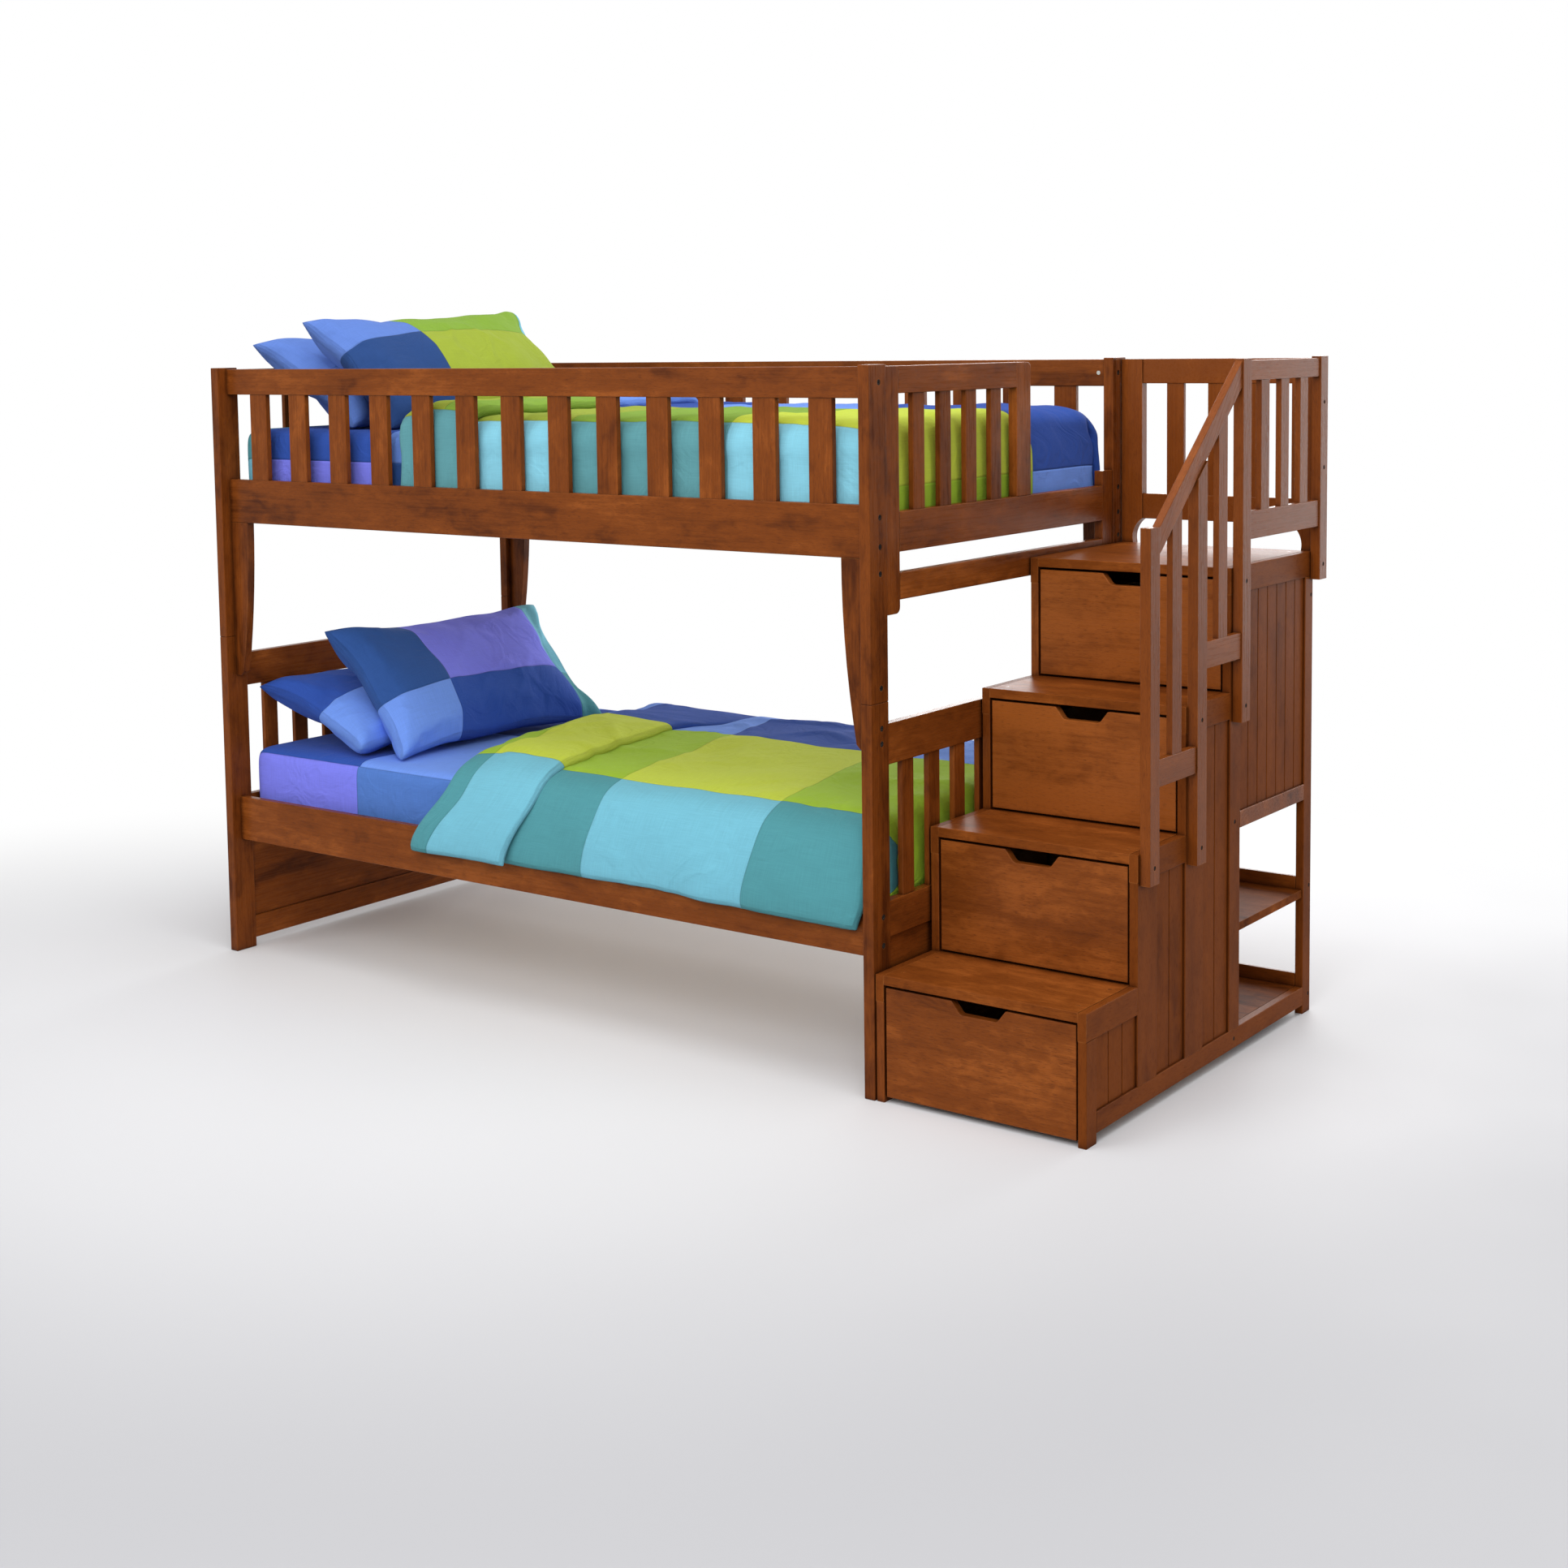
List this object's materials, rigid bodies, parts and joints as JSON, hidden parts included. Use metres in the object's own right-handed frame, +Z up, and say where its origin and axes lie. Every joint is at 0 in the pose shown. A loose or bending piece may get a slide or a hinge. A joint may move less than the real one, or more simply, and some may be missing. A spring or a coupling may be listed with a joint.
{
  "type": "bunk bed with stairs",
  "caption": "Twin over twin bunk bed in stained wood with a drawer staircase, handrail, platform guard, end shelves, slatted guards and colour-block bedding.",
  "frame": {"origin": "centre of the bounding box on the floor", "axes": "+X along the bed from the head to the stairs, +Y from the drawer fronts to the back, +Z up"},
  "size_m": [2.531, 1.1, 1.656],
  "materials": {
    "stained_wood": "satin reddish-brown stain over fine grain",
    "plain_wood": "unstained softwood",
    "dark_metal": "black-brown bolt heads",
    "bright_metal": "zinc-bright steel",
    "fitted_sheet": "plain-weave cotton, blue and purple blocks",
    "duvet_cover": "plain-weave cotton, teal, aqua, lime and blue blocks",
    "pillow_cover": "plain-weave cotton, blue, purple and lime blocks"
  },
  "bodies": {
    "bed_frame": {"beadboards": "stained_wood", "cross_nuts": "bright_metal", "drawer_runners": "plain_wood", "entry_rails": "stained_wood", "entry_slats": "stained_wood", "entry_stiles": "stained_wood", "foot_end_rails": "stained_wood", "guard_slats": "stained_wood", "guard_top_rails": "stained_wood", "handrail_bolts": "dark_metal", "handrail_posts": "stained_wood", "handrail_rails": "stained_wood", "head_end_rails": "stained_wood", "lower_bed_slats": "plain_wood", "lower_duvet": "duvet_cover", "lower_end_panels": "stained_wood", "lower_end_slats": "stained_wood", "lower_flat_pillow": "pillow_cover", "lower_lean_pillow": "pillow_cover", "lower_mattress": "fitted_sheet", "lower_posts": "stained_wood", "lower_side_rails": "stained_wood", "platform_back_stiles": "stained_wood", "platform_guard_rails": "stained_wood", "post_braces": "stained_wood", "post_dowels": "plain_wood", "rail_bolts": "dark_metal", "shelf_boards": "stained_wood", "shelf_head_rails": "stained_wood", "shelf_lips": "stained_wood", "shelf_partition": "stained_wood", "slat_cleats": "plain_wood", "stair_guard_slats": "stained_wood", "tower_back_panel": "stained_wood", "tower_base_rails": "stained_wood", "tower_bolts": "dark_metal", "tower_left_panels": "stained_wood", "tower_left_stiles": "stained_wood", "tower_rear_posts": "stained_wood", "tower_right_stiles": "stained_wood", "tread_caps": "stained_wood", "tread_plugs": "stained_wood", "treads": "stained_wood", "upper_bed_slats": "plain_wood", "upper_duvet": "duvet_cover", "upper_flat_pillow": "pillow_cover", "upper_head_rails": "stained_wood", "upper_head_slats": "stained_wood", "upper_lean_pillow": "pillow_cover", "upper_mattress": "fitted_sheet", "upper_posts": "stained_wood", "upper_side_rails": "stained_wood"},
    "drawer_1": {"drawer_1_front": "stained_wood", "drawer_1_box": "plain_wood"},
    "drawer_2": {"drawer_2_front": "stained_wood", "drawer_2_box": "plain_wood"},
    "drawer_3": {"drawer_3_front": "stained_wood", "drawer_3_box": "plain_wood"},
    "drawer_4": {"drawer_4_front": "stained_wood", "drawer_4_box": "plain_wood"}
  },
  "joints": [
    {"name": "drawer_1_slide", "type": "slide", "parent": "bed_frame", "child": "drawer_1", "axis": [0, -1, 0], "range_m": [0, 0.45]},
    {"name": "drawer_2_slide", "type": "slide", "parent": "bed_frame", "child": "drawer_2", "axis": [0, -1, 0], "range_m": [0, 0.28]},
    {"name": "drawer_3_slide", "type": "slide", "parent": "bed_frame", "child": "drawer_3", "axis": [0, -1, 0], "range_m": [0, 0.4]},
    {"name": "drawer_4_slide", "type": "slide", "parent": "bed_frame", "child": "drawer_4", "axis": [0, -1, 0], "range_m": [0, 0.22]}
  ]
}
